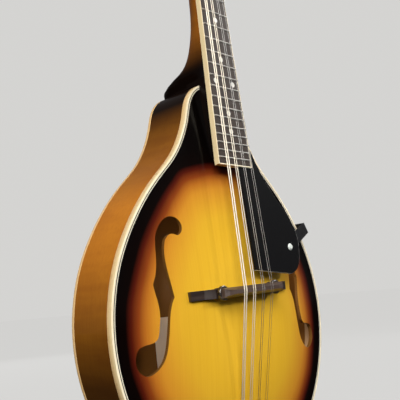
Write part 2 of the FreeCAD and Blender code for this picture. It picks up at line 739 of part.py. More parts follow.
def make_truss_cover():
    corners = [("-11", "5.5"), ("11", "5.5"), ("11", "14"), ("5.5", "25"), ("3.5", "42"), ("-3.5", "42"),
               ("-5.5", "25"), ("-11", "14")]
    plate = padded_body("cover_plate", "XZ_Plane", corners, "1.8")
    screws = doc.addObject("Part::Feature", "cover_screw_cutters")
    screws.Shape = Part.makeCompound(cover_screw_pilots())
    keep(cut("truss_rod_cover", plate, screws), "truss_rod_cover", HEAD)
    solids = [screw(x, level, -1.8, 2.0, COVER_SHANK, SCREW_LENGTH) for x, level in COVER_SCREWS]
    feature("truss_cover_screws", Part.makeCompound(solids), HEAD)


PLATE_SCREW_LEVELS = [14.5, 42.7, 66.1, 89.5, 115.5]


def plate_screw_places(side):
    return [(side * dim("post_side"), level) for level in PLATE_SCREW_LEVELS]


def plate_screw_pilots():
    """Holes for the plates' screws, from the back of the headstock."""
    places = plate_screw_places(-1) + plate_screw_places(1)
    depth = HEAD_BACK + dim("plate_thickness") - SCREW_LENGTH
    return [Part.makeCylinder(PLATE_SHANK, 12, V(x, depth, level), Y_AXIS) for x, level in places]


def gear_radius():
    return dim("gear_teeth") * dim("worm_pitch") / (2 * math.pi)


def worm_drop():
    """Distance from a post's axis to its key's axis, along the headstock."""
    return gear_radius() + dim("worm_pitch_radius") + dim("mesh_play")


def worm_depth():
    """Depth of the keys' axes in the headstock's frame."""
    return HEAD_BACK + dim("plate_thickness") + dim("worm_tip") + 0.45


def make_tuner_plate(side, label):
    """A stamped plate with a pair of raised lugs for each key."""
    x = side * dim("post_side")
    half = dim("plate_half_width")
    thickness = dim("plate_thickness")
    plate = Part.makeBox(2 * half, thickness, 112, V(x - half, HEAD_BACK, 9))
    lugs = []
    for post_side, post_x, level in post_places():
        if post_side == side:
            for offset in (-dim("lug_offset"), dim("lug_offset")):
                start = V(post_x + offset - dim("lug_thickness") / 2, HEAD_BACK, level - worm_drop() - 3.4)
                lugs.append(Part.makeBox(dim("lug_thickness"), worm_depth() - HEAD_BACK + 3.2, 6.8, start))
    plate = plate.fuse(lugs).removeSplitter()
    holes = post_drills(dim("post_radius") + dim("running_gap"), HEAD_BACK - 1, HEAD_BACK + 3)
    for _, post_x, level in post_places():
        holes.append(Part.makeCylinder(dim("shaft_radius") + dim("running_gap"), 30,
                                       V(post_x - 15, worm_depth(), level - worm_drop()), X_AXIS))
    for screw_x, level in plate_screw_places(side):
        holes.append(Part.makeCylinder(PLATE_SHANK, 6, V(screw_x, HEAD_BACK - 2, level), Y_AXIS))
    feature(label, plate.cut(Part.makeCompound(holes)), HEAD)


def make_plate_screws():
    """Ten round-headed wood screws that hold the two plates."""
    seat = HEAD_BACK + dim("plate_thickness")
    solids = []
    for side in (-1, 1):
        for x, level in plate_screw_places(side):
            head = Part.makeCylinder(1.9, 0.9, V(x, seat, level), Y_AXIS)
            shank = Part.makeCylinder(PLATE_SHANK, SCREW_LENGTH, V(x, seat - SCREW_LENGTH, level), Y_AXIS)
            solids.append(head.fuse(shank).removeSplitter())
    feature("tuner_screws", Part.makeCompound(solids), HEAD)


def make_bushings():
    """A flanged sleeve round each post, pressed into the front of the headstock."""
    solids = []
    for _, x, level in post_places():
        flange = Part.makeCylinder(dim("flange_radius"), dim("flange_thickness"),
                                   V(x, -dim("flange_thickness"), level), Y_AXIS)
        sleeve = Part.makeCylinder(dim("bushing_radius"), 8, V(x, 0, level), Y_AXIS)
        bore = Part.makeCylinder(dim("post_radius") + dim("running_gap"), 20, V(x, -5, level), Y_AXIS)
        solids.append(flange.fuse(sleeve).removeSplitter().cut(bore))
    feature("post_bushings", Part.makeCompound(solids), HEAD)


def worm_solid():
    """A right-handed single-start worm along local Z, centred on the origin, thread at half pitches."""
    pitch = dim("worm_pitch")
    height = dim("worm_turns") * pitch
    helix = Part.makeHelix(pitch, height, dim("worm_pitch_radius"))
    root = dim("worm_root") - 0.15
    tip = dim("worm_tip")
    profile = Part.makePolygon([V(root, 0, -0.62), V(tip, 0, -0.24), V(tip, 0, 0.24), V(root, 0, 0.62),
                                V(root, 0, -0.62)])
    thread = Part.Wire(helix.Edges).makePipeShell([profile], True, True)
    core = Part.makeCylinder(dim("worm_root"), height + 1.2, V(0, 0, -0.6))
    solid = core.fuse(thread)
    solid.translate(V(0, 0, -height / 2))
    return solid


def gear_solid():
    """The wheel on a post's end: straight teeth about local Y, one tooth pointing to -Z."""
    teeth = int(dim("gear_teeth"))
    pitch_radius = gear_radius()
    step = 2 * math.pi / teeth
    half_tip = 0.17 / pitch_radius
    half_root = 0.58 / pitch_radius
    points = []
    for number in range(teeth):
        middle = -math.pi / 2 + number * step
        for angle, radius in ((-half_root, pitch_radius - dim("gear_root")),
                              (-half_tip, pitch_radius + dim("gear_tip")),
                              (half_tip, pitch_radius + dim("gear_tip")),
                              (half_root, pitch_radius - dim("gear_root"))):
            points.append(V(radius * math.cos(middle + angle), 0, radius * math.sin(middle + angle)))
    face = Part.Face(Part.makePolygon(points + points[:1]))
    return face.extrude(V(0, dim("gear_face"), 0))


def key_solid():
    """Worm, shaft and oval button of a bass-side key: axis along X, post's centre at x = 0."""
    worm = worm_solid()
    worm.Placement = Placement(FreeCAD.Matrix(0, 0, 1, 0, 0, -1, 0, 0, 1, 0, 0, 0, 0, 0, 0, 1)).multiply(
        worm.Placement)
    inner = dim("lug_offset") + dim("lug_thickness") / 2 + 0.8
    outer = dim("button_start") - dim("post_side")
    shaft = Part.makeCylinder(dim("shaft_radius"), inner + outer + 6, V(-outer - 6, 0, 0), X_AXIS)
    collar = Part.makeCylinder(2.4, 1.5, V(-outer - 0.5, 0, 0), X_AXIS)
    tall = dim("button_tall") / 2
    thick = dim("button_thick") / 2
    oval = Part.Ellipse(V(-outer, 0, tall), V(-outer, thick, 0), V(-outer, 0, 0))
    button = Part.Face(Part.Wire([oval.toShape()])).extrude(V(-dim("button_length"), 0, 0))
    button = button.makeFillet(2.2, button.Edges)
    return worm.fuse([shaft, collar, button]).removeSplitter()


def post_solid():
    """Post, gear, gear screw and the winding's core, with the post's axis along Y at the origin."""
    radius = dim("post_radius")
    gear_front = worm_depth() - dim("gear_face") / 2
    stem = Part.makeCylinder(radius, gear_front + dim("post_rise"), V(0, -dim("post_rise"), 0), Y_AXIS)
    waist = Part.makeTorus(radius + 3.4, 4.0, V(0, WIND_FRONT, 0), Y_AXIS)
    hole = Part.makeCylinder(0.8, 20, V(-10, -11.5, 0), X_AXIS)
    winding = Part.makeCylinder(WIND_RADIUS, 4.6, V(0, WIND_FRONT - 2.3, 0), Y_AXIS)
    core = Part.makeCylinder(2.2, 7, V(0, WIND_FRONT - 3.5, 0), Y_AXIS)
    gear = gear_solid()
    gear.translate(V(0, gear_front, 0))
    cap = Part.makeCylinder(2.1, 1.0, V(0, gear_front + dim("gear_face"), 0), Y_AXIS)
    return stem.cut(waist).cut(hole).fuse([winding, core, gear, cap]).removeSplitter()


def make_tuners():
    key = key_solid()
    post = post_solid()
    across = V(0, 0, 0)
    for number, (side, x, level) in enumerate(post_places(), start=1):
        for kind, solid, offset in (("tuner_key_%d", key, V(x, worm_depth(), level - worm_drop())),
                                    ("tuner_post_%d", post, V(x, 0, level))):
            shape = solid.copy() if side < 0 else solid.mirror(across, X_AXIS)
            shape.translate(offset)
            feature(kind % number, shape, HEAD)


# ---------------------------------------------------------------- bridge
def bridge_profile(points, width):
    """A profile in the bridge's own XY plane, as (x, height above y = 0), padded across Z."""
    outline = [V(x, -rise, -width / 2) for x, rise in points]
    return Part.Face(Part.makePolygon(outline + outline[:1])).extrude(V(0, 0, width))


def mirrored(points):
    """A half profile from the end to the middle, completed on the other side."""
    return points + [(-x, rise) for x, rise in reversed(points)]


def make_bridge_base():
    end = dim("base_half_length")
    platform = dim("platform")
    upper = mirrored([(end, 9.2), (end - 13, 10.9), (end - 18.5, platform - 1.4), (end - 21, platform),
                      (26, platform), (22, platform - 0.9)])
    lower = [(-end, -4), (-38, -4), (-35.5, 12.4), (-20, 13.2), (20, 13.2), (35.5, 12.4), (38, -4), (end, -4)]
    base = bridge_profile(upper + lower, dim("base_width"))
    for side in (-1, 1):
        x = side * dim("stud_offset")
        collar = Part.makeCylinder(dim("base_width") / 2 + 0.9, 4.5, V(x, -platform, 0), Y_AXIS)
        base = base.fuse(collar)
    base = base.removeSplitter()
    for stud in stud_solids():
        base = base.cut(stud)
    base.Placement = BRIDGE
    feature("bridge_base", base.cut(TOP_OUTSIDE))


def stud_solids():
    solids = []
    for side in (-1, 1):
        x = side * dim("stud_offset")
        solids.append(Part.makeCylinder(dim("stud_radius"), dim("stud_top") - 11.6,
                                        V(x, -dim("stud_top"), 0), Y_AXIS))
    return solids


def make_thumbwheel(side, label):
    """A thick disc with bevelled edges and a running bore on its stud."""
    x = side * dim("stud_offset")
    front = -dim("wheel_back") - dim("wheel_thickness")
    disc = Part.makeCylinder(dim("wheel_radius"), dim("wheel_thickness"), V(x, front, 0), Y_AXIS)
    disc = disc.makeChamfer(0.35, [edge for edge in disc.Edges if len(edge.Vertexes) == 1])
    bore = Part.makeCylinder(dim("stud_radius") + dim("running_gap"), 10, V(x, front - 2, 0), Y_AXIS)
    feature(label, disc.cut(bore), BRIDGE)


def make_saddle():
    """The upper half of the bridge: it sits on the wheels, and its crest carries the strings."""
    end = dim("saddle_half_length")
    seat = dim("wheel_back") + dim("wheel_thickness") + 0.05
    crest = dim("saddle_crest")
    points = mirrored([(end, seat), (end, crest - 4.2), (end - 3, crest - 1.6), (end - 10, crest),
                       (end - 14, crest)])
    relief = [(-22, seat), (-17, seat + 1.4), (17, seat + 1.4), (22, seat)]
    solid = bridge_profile(points + relief, dim("saddle_width"))
    half = dim("saddle_width") / 2
    for side in (-1, 1):
        wedge = [V(-50, -seat - 2.5, side * half), V(-50, -crest - 1, side * 1.2),
                 V(-50, -crest - 1, side * (half + 2)), V(-50, -seat - 2.5, side * (half + 2))]
        solid = solid.cut(Part.Face(Part.makePolygon(wedge + wedge[:1])).extrude(V(100, 0, 0)))
        socket = Part.makeCylinder(dim("stud_radius") + 0.2, dim("stud_top") + 1.6 - seat + 1,
                                   V(side * dim("stud_offset"), -seat + 1, 0), -Y_AXIS)
        solid = solid.cut(socket)
    solid.Placement = BRIDGE
    feature("saddle", solid.cut(Part.makeCompound(string_slots(0.05))))


# ---------------------------------------------------------------- pickguard
GUARD_SCREW = (60.3, -318.6)
STRAP_RIM = (105.4, -298.6)
LEG_SCREW_DEPTH = 18.0
LEG_SCREW_LENGTH = 9.0
LEG_SHANK = 1.2
GUARD_EDGE = [(21.8, -229), (24.6, -232), (30, -244), (47.5, -270.5), (61.5, -287), (71.3, -301.5)]


def make_pickguard():
    """A flat plate beside the strings, from the fretboard's edge to the level of the bridge."""
    gap = dim("guard_gap")
    board_end = -dim("board_length") - dim("binding_strip") - gap
    side = dim("board_end_width") / 2 + dim("binding_strip") + gap
    front = dim("guard_front")
    start = V(5.7, front, board_end)
    notch = V(side, front, board_end)
    first = V(side, front, GUARD_EDGE[0][1])
    edge = [V(x, front, z) for x, z in GUARD_EDGE[1:]]
    flank = Part.BSplineCurve()
    flank.interpolate(edge)
    shoulder = Part.Arc(edge[-1], V(73.6, front, -316), V(71.5, front, -329.5))
    corner = Part.Arc(V(71.5, front, -329.5), V(65.8, front, -338.8), V(56, front, -343))
    foot = V(8.7, front, -338.7)
    lines = [(start, notch), (notch, first), (first, edge[0]), (V(56, front, -343), foot), (foot, start)]
    edges = [Part.LineSegment(a, b).toShape() for a, b in lines]
    edges += [flank.toShape(), shoulder.toShape(), corner.toShape()]
    plate = Part.Face(Part.Wire(Part.sortEdges(edges)[0])).extrude(V(0, dim("guard_thickness"), 0))
    hole = Part.makeCylinder(1.25, 10, V(GUARD_SCREW[0], -2, GUARD_SCREW[1]), Y_AXIS)
    feature("pickguard", plate.cut(hole), NECK)


def guard_back(level):
    """Depth of the pickguard's back face, at a level, in the body's frame."""
    lean = math.radians(dim("neck_angle"))
    return (dim("guard_front") + dim("guard_thickness") + level * math.sin(lean)) / math.cos(lean)


def strap_directions():
    """Outwards over the rim and along it, at the place where the strap crosses."""
    curve = flank_curve(flank_points(), 1)
    along = curve.tangent(curve.parameter(V(STRAP_RIM[0], 0, STRAP_RIM[1])))[0]
    return V(-along.z, 0, along.x), along


def strap_section(centre, along, front, thickness):
    """A cross-section of the strap; front is its depth, or None to lie against the pickguard."""
    half = dim("strap_width") / 2
    corners = []
    for offset in (-half, half):
        spot = centre + along * offset
        corners.append(V(spot.x, guard_back(spot.z) if front is None else front, spot.z))
    back = [corner + V(0, thickness, 0) for corner in reversed(corners)]
    return Part.makePolygon(corners + back + corners[:1])


def strap_rim():
    """Where the strap's leg touches the rib, in the plane y = 0, and the direction outwards."""
    outward, _ = strap_directions()
    edge = flank_curve(flank_points(), 1)
    near = edge.value(edge.parameter(V(STRAP_RIM[0], 0, STRAP_RIM[1])))
    return near + outward * 0.02, outward


def bracket_pilot():
    """The hole for the strap's wood screw, through the leg and the rib into the lining."""
    rim, outward = strap_rim()
    centre = rim + V(0, LEG_SCREW_DEPTH, 0)
    return Part.makeCylinder(LEG_SHANK, LEG_SCREW_LENGTH, centre + outward * dim("strap_thickness"),
                             -outward)


def make_pickguard_bracket():
    """A bent strap: flat under the pickguard, sloping out over the rim, then down the rib."""
    outward, along = strap_directions()
    thickness = dim("strap_thickness")
    rim, outward = strap_rim()
    held = V(GUARD_SCREW[0], 0, GUARD_SCREW[1] + 0.4)
    bend_depth = -5.0
    sections = [strap_section(held - outward * 7, along, None, thickness),
                strap_section(held + outward * 9, along, None, thickness),
                strap_section(rim + outward * thickness, along, bend_depth, thickness)]
    arm = Part.makeLoft(sections, True, True)
    half = dim("strap_width") / 2
    foot = [rim - along * half, rim + along * half, rim + along * half + outward * thickness,
            rim - along * half + outward * thickness]
    foot = [corner + V(0, bend_depth + 0.3, 0) for corner in foot]
    leg = Part.Face(Part.makePolygon(foot + foot[:1])).extrude(V(0, dim("strap_leg") - bend_depth, 0))
    strap = arm.fuse(leg).removeSplitter()
    screws = []
    centre = rim + V(0, LEG_SCREW_DEPTH, 0)
    head = Part.makeCone(2.8, 1.6, 1.2, centre + outward * thickness, outward)
    screws.append(head.fuse(bracket_pilot()).removeSplitter())
    top = NECK.multVec(V(GUARD_SCREW[0], dim("guard_front"), GUARD_SCREW[1]))
    normal = NECK.Rotation.multVec(Y_AXIS)
    dome = Part.makeCone(3.2, 1.9, 1.3, top, -normal)
    stem = Part.makeCylinder(1.25, 4.4, top, normal)
    screws.append(dome.fuse(stem).removeSplitter())
    guard_hole = Part.makeCylinder(1.25, 12, top - normal * 2, normal)
    feature("pickguard_bracket", strap.cut(guard_hole).cut(bracket_pilot()))
    feature("pickguard_screws", Part.makeCompound(screws))


# ---------------------------------------------------------------- tailpiece
END_PLANE = -dim("waist_level") - dim("lower_bout_length") - 0.3
TAIL_SCREWS = [(-14, 12), (14, 12), (0, 19)]


def side_profile(points, half_width):
    """A profile in the YZ plane, as (y, z), padded evenly across X."""
    outline = [V(-half_width, y, z) for y, z in points]
    return Part.Face(Part.makePolygon(outline + outline[:1])).extrude(V(2 * half_width, 0, 0))


TAIL_SHANK = 1.2
TAIL_SCREW_LENGTH = 11.0


def tail_end_drills():
    """Holes for the tailpiece's end screws, through its plate and the rib into the tail block."""
    start = END_PLANE - dim("tail_sheet")
    return [Part.makeCylinder(TAIL_SHANK, TAIL_SCREW_LENGTH, V(x, y, start), Z_AXIS)
            for x, y in TAIL_SCREWS]


def make_tailpiece():
    """A bent plate with eight string hooks, three end screws and a slide-on cover."""
    sheet_metal = dim("tail_sheet")
    outer = END_PLANE - sheet_metal
    plate = side_profile([(-3.3, -468), (3.9, -508), (3.9, END_PLANE), (42, END_PLANE), (42, outer),
                          (3.9 - sheet_metal, outer), (3.9 - sheet_metal, -507.6),
                          (-3.5 - sheet_metal, -467.9)], dim("tail_half_width"))
    hooks = []
    for course in COURSES:
        for place_x in course[3]:
            root = V(place_x * HOOK_SPREAD, -1.6, HOOK_LEVEL - 1.6 - course[1])
            hook = Part.makeCylinder(0.7, 6.6, root, V(0, -1, -0.15))
            hooks.append(hook)
    base = plate.fuse(hooks).cut(PIN_HOLE).cut(Part.makeCompound(tail_end_drills()))
    feature("tailpiece_base", base)
    screws = []
    for x, y in TAIL_SCREWS:
        head = Part.makeCone(1.6, 2.6, 1.1, V(x, y, outer - 1.1), Z_AXIS)
        shank = Part.makeCylinder(TAIL_SHANK, TAIL_SCREW_LENGTH, V(x, y, outer), Z_AXIS)
        screws.append(head.fuse(shank).removeSplitter())
    feature("tailpiece_screws", Part.makeCompound(screws))
    feature("tailpiece_cover", cover_shell())


def cover_shell():
    """A pressed cover: a sloping sheet with side skirts and a turned-down end."""
    metal = dim("cover_sheet")
    half = dim("cover_half_width")
    outer = side_profile([(-13.8, -462), (-5.2, -510), (-3.4, -514), (-0.4, -515.5), (0.8, -515.5),
                          (0.3, -512), (-5.8, -462)], half)
    inner = side_profile([(-13.8 + metal, -461), (-5.2 + metal, -509.7), (-2.8, -513.2), (0, -514.5),
                          (3, -514.5), (3, -461)], half - metal)
    return outer.cut(inner)


# ---------------------------------------------------------------- assembly
make_soundboard()
make_back_plate()
make_ribs()
make_linings()
make_blocks()
make_tone_bars()
make_edging()
make_end_pin()
make_neck()
make_fretboard()
make_fretboard_binding()
make_strings()
make_nut()
make_headstock_veneer()
make_truss_rod()
make_truss_cover()
make_tuner_plate(-1, "tuner_plate_bass")
make_tuner_plate(1, "tuner_plate_treble")
make_plate_screws()
make_bushings()
make_tuners()
make_bridge_base()
feature("bridge_studs", Part.makeCompound(stud_solids()), BRIDGE)
make_thumbwheel(-1, "thumbwheel_bass")
make_thumbwheel(1, "thumbwheel_treble")
make_saddle()
make_pickguard()
make_pickguard_bracket()
make_tailpiece()
doc.recompute()

# ---------------------------------------------------------------- checks and export
for item in doc.Objects:
    states = [state for state in item.State if state in ("Invalid", "Error")]
    if states:
        raise RuntimeError("%s is %s" % (item.Label, states))
os.makedirs("parts", exist_ok=True)
for item in nodes:
    if item.Shape.isNull() or not item.Shape.isValid() or not item.Shape.Solids:
        raise RuntimeError("%s has no valid solid" % item.Label)
for item in nodes:
    item.Shape.exportStep("parts/%s.step" % item.Label)
    bounds = item.Shape.BoundBox
    print("%-20s %d solids %10.1f mm3  x %.1f..%.1f y %.1f..%.1f z %.1f..%.1f" % (
        item.Label, len(item.Shape.Solids), item.Shape.Volume, bounds.XMin, bounds.XMax, bounds.YMin,
        bounds.YMax, bounds.ZMin, bounds.ZMax))
print(len(nodes), "sub-parts")
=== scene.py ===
"""Looks, lights and camera for the mandolin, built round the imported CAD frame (metres, +Z up, front -Y)."""

import json
import math

import bmesh
import bpy
from mathutils import Matrix, Vector


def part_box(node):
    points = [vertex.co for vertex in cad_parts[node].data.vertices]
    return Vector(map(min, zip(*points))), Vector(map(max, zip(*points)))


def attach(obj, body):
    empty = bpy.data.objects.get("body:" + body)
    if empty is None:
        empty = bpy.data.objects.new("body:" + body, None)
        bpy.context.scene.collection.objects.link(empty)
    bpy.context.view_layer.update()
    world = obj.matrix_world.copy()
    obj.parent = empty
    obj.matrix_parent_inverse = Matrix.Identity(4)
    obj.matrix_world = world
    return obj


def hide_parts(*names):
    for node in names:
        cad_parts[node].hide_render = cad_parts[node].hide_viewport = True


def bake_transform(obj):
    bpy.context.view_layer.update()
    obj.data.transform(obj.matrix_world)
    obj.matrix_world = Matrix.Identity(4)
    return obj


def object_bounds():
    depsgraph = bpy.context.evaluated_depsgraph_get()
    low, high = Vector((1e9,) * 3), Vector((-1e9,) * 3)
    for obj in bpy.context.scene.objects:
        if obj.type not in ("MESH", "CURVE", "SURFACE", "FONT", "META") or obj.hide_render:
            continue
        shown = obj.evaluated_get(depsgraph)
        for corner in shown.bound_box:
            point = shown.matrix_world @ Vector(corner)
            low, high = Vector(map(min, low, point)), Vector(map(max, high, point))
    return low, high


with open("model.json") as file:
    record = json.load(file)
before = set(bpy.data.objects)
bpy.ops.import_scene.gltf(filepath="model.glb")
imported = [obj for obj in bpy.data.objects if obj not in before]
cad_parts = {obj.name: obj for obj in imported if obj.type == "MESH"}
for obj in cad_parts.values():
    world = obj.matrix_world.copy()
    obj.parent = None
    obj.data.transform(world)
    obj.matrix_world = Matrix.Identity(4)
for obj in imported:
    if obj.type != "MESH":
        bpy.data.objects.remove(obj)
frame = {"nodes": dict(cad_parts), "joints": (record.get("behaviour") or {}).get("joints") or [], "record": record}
CAD_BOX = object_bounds()
MM = 0.001


# ---------------------------------------------------------------- node helpers
class Graph:
    """A material and short ways to add nodes to it. Colours are linear RGB."""

    def __init__(self, name, colour=(0.8, 0.8, 0.8), rough=0.5, **sockets):
        self.mat = bpy.data.materials.new(name)
        self.mat.use_nodes = True
        self.tree = self.mat.node_tree
        self.bsdf = self.tree.nodes["Principled BSDF"]
        self.bsdf.inputs["Base Color"].default_value = (*colour, 1)
        self.bsdf.inputs["Roughness"].default_value = rough
        for key, value in sockets.items():
            self.bsdf.inputs[key.replace("_", " ")].default_value = value
        self.place = self.add("ShaderNodeTexCoord").outputs["Object"]

    def add(self, kind, props=None, **inputs):
        node = self.tree.nodes.new(kind)
        for key, value in (props or {}).items():
            setattr(node, key, value)
        for key, value in inputs.items():
            self.put(value, node.inputs[int(key[1:]) if key[1:].isdigit() else key])
        return node

    def put(self, value, socket):
        if isinstance(value, bpy.types.NodeSocket):
            self.tree.links.new(value, socket)
        else:
            socket.default_value = value

    def math(self, operation, a, b=0.0, clamp=False):
        props = {"operation": operation, "use_clamp": clamp}
        return self.add("ShaderNodeMath", props, i0=a, i1=b).outputs[0]

    def axes(self):
        split = self.add("ShaderNodeSeparateXYZ", i0=self.place)
        return split.outputs[0], split.outputs[1], split.outputs[2]

    def normal_axes(self):
        """The surface's direction in the model's frame."""
        normal = self.add("ShaderNodeNewGeometry").outputs["Normal"]
        split = self.add("ShaderNodeSeparateXYZ", i0=normal)
        return split.outputs[0], split.outputs[1], split.outputs[2]

    def stretched(self, scale, turn=(0, 0, 0)):
        return self.add("ShaderNodeMapping", Scale=scale, Rotation=turn, Vector=self.place).outputs[0]

    def noise(self, scale, detail=3.0, rough=0.55, distortion=0.0, turn=(0, 0, 0)):
        node = self.add("ShaderNodeTexNoise", Vector=self.stretched(scale, turn), Scale=1.0, Detail=detail,
                        Roughness=rough, Distortion=distortion)
        return node.outputs["Fac"]

    def ramp(self, value, stops, ease="LINEAR"):
        node = self.add("ShaderNodeValToRGB", i0=value)
        node.color_ramp.interpolation = ease
        elements = node.color_ramp.elements
        while len(elements) < len(stops):
            elements.new(0.5)
        for element, (place, colour) in zip(elements, stops):
            element.position = place
            element.color = (*colour, 1) if isinstance(colour, tuple) else (colour, colour, colour, 1)
        return node.outputs[0]

    def mix(self, share, a, b, blend="MIX"):
        node = self.add("ShaderNodeMix", {"data_type": "RGBA", "blend_type": blend, "clamp_factor": True})
        self.put(share, node.inputs[0])
        for value, index in ((a, 6), (b, 7)):
            self.put((*value, 1) if isinstance(value, tuple) else value, node.inputs[index])
        return node.outputs[2]

    def remap(self, value, low, high, to_low=0.0, to_high=1.0, ease="SMOOTHSTEP"):
        node = self.add("ShaderNodeMapRange", {"clamp": True, "interpolation_type": ease}, i0=value,
                        i1=low, i2=high, i3=to_low, i4=to_high)
        return node.outputs[0]

    def colour(self, socket):
        self.put(socket, self.bsdf.inputs["Base Color"])
        return self

    def rough(self, value, low, high):
        self.put(self.remap(value, 0.3, 0.7, low, high), self.bsdf.inputs["Roughness"])
        return self

    def bump(self, height, depth, strength=1.0):
        node = self.add("ShaderNodeBump", Strength=strength, Distance=depth, Height=height)
        self.put(node.outputs[0], self.bsdf.inputs["Normal"])
        return self


LACQUER = {"Coat_Weight": 0.28, "Coat_Roughness": 0.08, "Coat_IOR": 1.4, "Specular_IOR_Level": 0.06}
TOP_GLOSS = {"Coat_Weight": 0.24, "Coat_Roughness": 0.10, "Coat_IOR": 1.4, "Specular_IOR_Level": 0.03}

# Half-lengths of the body's outline seen from the bout's centre, by the angle from straight up, as
# (share of half a turn, metres). Near the neck they follow the burst's inner edge, not the rim.
BURST_CENTRE = -0.385
BURST_REACH = [(0.0, 0.1565), (0.03, 0.1565), (0.06, 0.1565), (0.1, 0.1565), (0.15, 0.150), (0.2, 0.1426),
               (0.3, 0.1340), (0.4, 0.1304), (0.5, 0.1282), (0.6, 0.1273), (0.7, 0.128), (0.8, 0.1296),
               (0.9, 0.1313), (1.0, 0.132)]
REACH_SCALE = 4.0
BURST_COLOURS = [(0.0, (0.0012, 0.0006, 0.0005)), (0.13, (0.0022, 0.0007, 0.0005)),
                 (0.175, (0.060, 0.0065, 0.0025)), (0.235, (0.18, 0.036, 0.006)),
                 (0.30, (0.37, 0.125, 0.013)), (0.37, (0.48, 0.205, 0.018)), (0.50, (0.54, 0.275, 0.020)),
                 (0.62, (0.58, 0.330, 0.021)), (0.78, (0.61, 0.355, 0.021)), (1.0, (0.64, 0.380, 0.025))]


def edge_distance(graph):
    """Distance in metres inwards from the body's outline, near enough for a sprayed burst."""
    x, _, z = graph.axes()
    side = graph.math("ABSOLUTE", x)
    up = graph.math("SUBTRACT", z, BURST_CENTRE)
    angle = graph.math("DIVIDE", graph.math("ARCTAN2", side, up), math.pi)
    curve = graph.add("ShaderNodeFloatCurve", Factor=1.0, Value=angle)
    points = curve.mapping.curves[0].points
    while len(points) < len(BURST_REACH):
        points.new(0.5, 0.5)
    for point, (place, reach) in zip(points, BURST_REACH):
        point.location = (place, reach * REACH_SCALE)
        point.handle_type = "AUTO_CLAMPED"
    curve.mapping.update()
    reach = graph.math("DIVIDE", curve.outputs[0], REACH_SCALE)
    radius = graph.math("SQRT", graph.math("ADD", graph.math("MULTIPLY", side, side),
                                           graph.math("MULTIPLY", up, up)))
    return graph.math("SUBTRACT", reach, radius)


def top_finish():
    """Spruce under a sprayed burst: near-black edge, red-brown, orange, then yellow."""
    graph = Graph("spruce_burst", rough=0.32, **TOP_GLOSS)
    drift = graph.math("MULTIPLY", graph.math("SUBTRACT", graph.noise((14, 14, 14), 2), 0.5), 0.006)
    distance = graph.math("ADD", edge_distance(graph), drift)
    share = graph.math("DIVIDE", distance, 0.1, clamp=True)
    burst = graph.ramp(share, BURST_COLOURS)
    grain = graph.noise((900, 40, 9), 2, 0.5)
    bands = graph.noise((210, 10, 3), 2, 0.5)
    streaks = graph.math("MULTIPLY", graph.remap(grain, 0.35, 0.7), 0.07)
    streaks = graph.math("ADD", streaks, graph.math("MULTIPLY", graph.remap(bands, 0.35, 0.65), 0.035))
    top = graph.mix(streaks, burst, (0.55, 0.34, 0.12), "MULTIPLY")
    _, facing, _ = graph.normal_axes()
    inside = graph.remap(graph.math("MULTIPLY", facing, -1.0), 0.75, 0.55)
    graph.colour(graph.mix(inside, top, (0.12, 0.052, 0.012)))
    graph.rough(grain, 0.30, 0.40)
    graph.bump(grain, 0.00002, 0.2)
    return graph.mat


def flamed(name, amber, brown, dark, dark_share, inner=None, gloss=LACQUER):
    """Lacquered maple: amber with faint cross flame, and a darkening given by dark_share(graph): burst stain, and
    on the ribs towards the tail also painted shade.

    inner(graph) says how far a face is turned towards the inside of the box, where the wood is bare.
    """
    graph = Graph(name, rough=0.34, **gloss)
    flame = graph.noise((16, 16, 110), 2, 0.5, 0.5)
    grain = graph.noise((500, 500, 16), 3, 0.6)
    cloud = graph.noise((22, 22, 22), 3, 0.5)
    base = graph.mix(graph.remap(flame, 0.36, 0.66, 0.0, 0.30), amber, brown)
    base = graph.mix(graph.math("MULTIPLY", graph.remap(grain, 0.4, 0.75), 0.25), base, brown)
    base = graph.mix(graph.remap(cloud, 0.4, 0.7, 0.0, 0.25), base, brown)
    finish = graph.mix(dark_share(graph), base, dark)
    if inner:
        finish = graph.mix(inner(graph), finish, graph.mix(label_share(graph), INNER_WOOD, PAPER))
    graph.colour(finish)
    graph.bump(grain, 0.00002, 0.2)
    return graph.mat


def label_share(graph):
    """Where a blank paper label is glued inside the back, under the bass f-hole."""
    x, _, z = graph.axes()
    low, high = LABEL_ACROSS
    across = graph.math("MULTIPLY", graph.math("GREATER_THAN", x, low), graph.math("LESS_THAN", x, high))
    bottom, top = LABEL_LEVELS
    along = graph.math("MULTIPLY", graph.math("GREATER_THAN", z, bottom), graph.math("LESS_THAN", z, top))
    return graph.math("MULTIPLY", across, along)


def inside_of_back(graph):
    """Faces turned to the front."""
    _, facing, _ = graph.normal_axes()
    return graph.remap(graph.math("MULTIPLY", facing, -1.0), 0.3, 0.6)


def inside_of_rib(graph):
    """Faces turned to the middle of the body."""
    x, _, _ = graph.axes()
    across, _, _ = graph.normal_axes()
    return graph.remap(graph.math("MULTIPLY", graph.math("SIGN", x), across), -0.1, -0.3)


# How dark the rib is painted, from the tail up to the heel, as (share of the height, darkness). Towards the tail
# this is partly burst stain and partly painted shade, where the lower ribs lie in shadow.
RIB_STAIN_AND_SHADE = [(0.0, 0.93), (0.32, 0.88), (0.41, 0.70), (0.50, 0.44), (0.60, 0.16), (0.71, 0.06),
                (0.83, 0.48), (0.91, 0.68), (0.95, 0.84), (0.98, 0.99)]
RIB_ENDS = (-0.53, -0.18)


def rib_shade(graph):
    """The ribs are black at the heel, amber by the middle, and dark again towards the tail, where the dark is part
    stain, part painted shade.
    """
    _, _, z = graph.axes()
    share = graph.remap(z, *RIB_ENDS, 0.0, 1.0, "LINEAR")
    return graph.ramp(share, RIB_STAIN_AND_SHADE)


def back_shade(graph):
    return graph.remap(edge_distance(graph), 0.045, 0.008, 0.0, 0.95)


def neck_shade(graph):
    """Black at the heel and behind the headstock, golden brown between."""
    _, _, z = graph.axes()
    heel = graph.remap(z, -0.120, -0.158, 0.0, 0.99)
    return graph.math("MAXIMUM", heel, graph.remap(z, -0.012, 0.02, 0, 0.98))


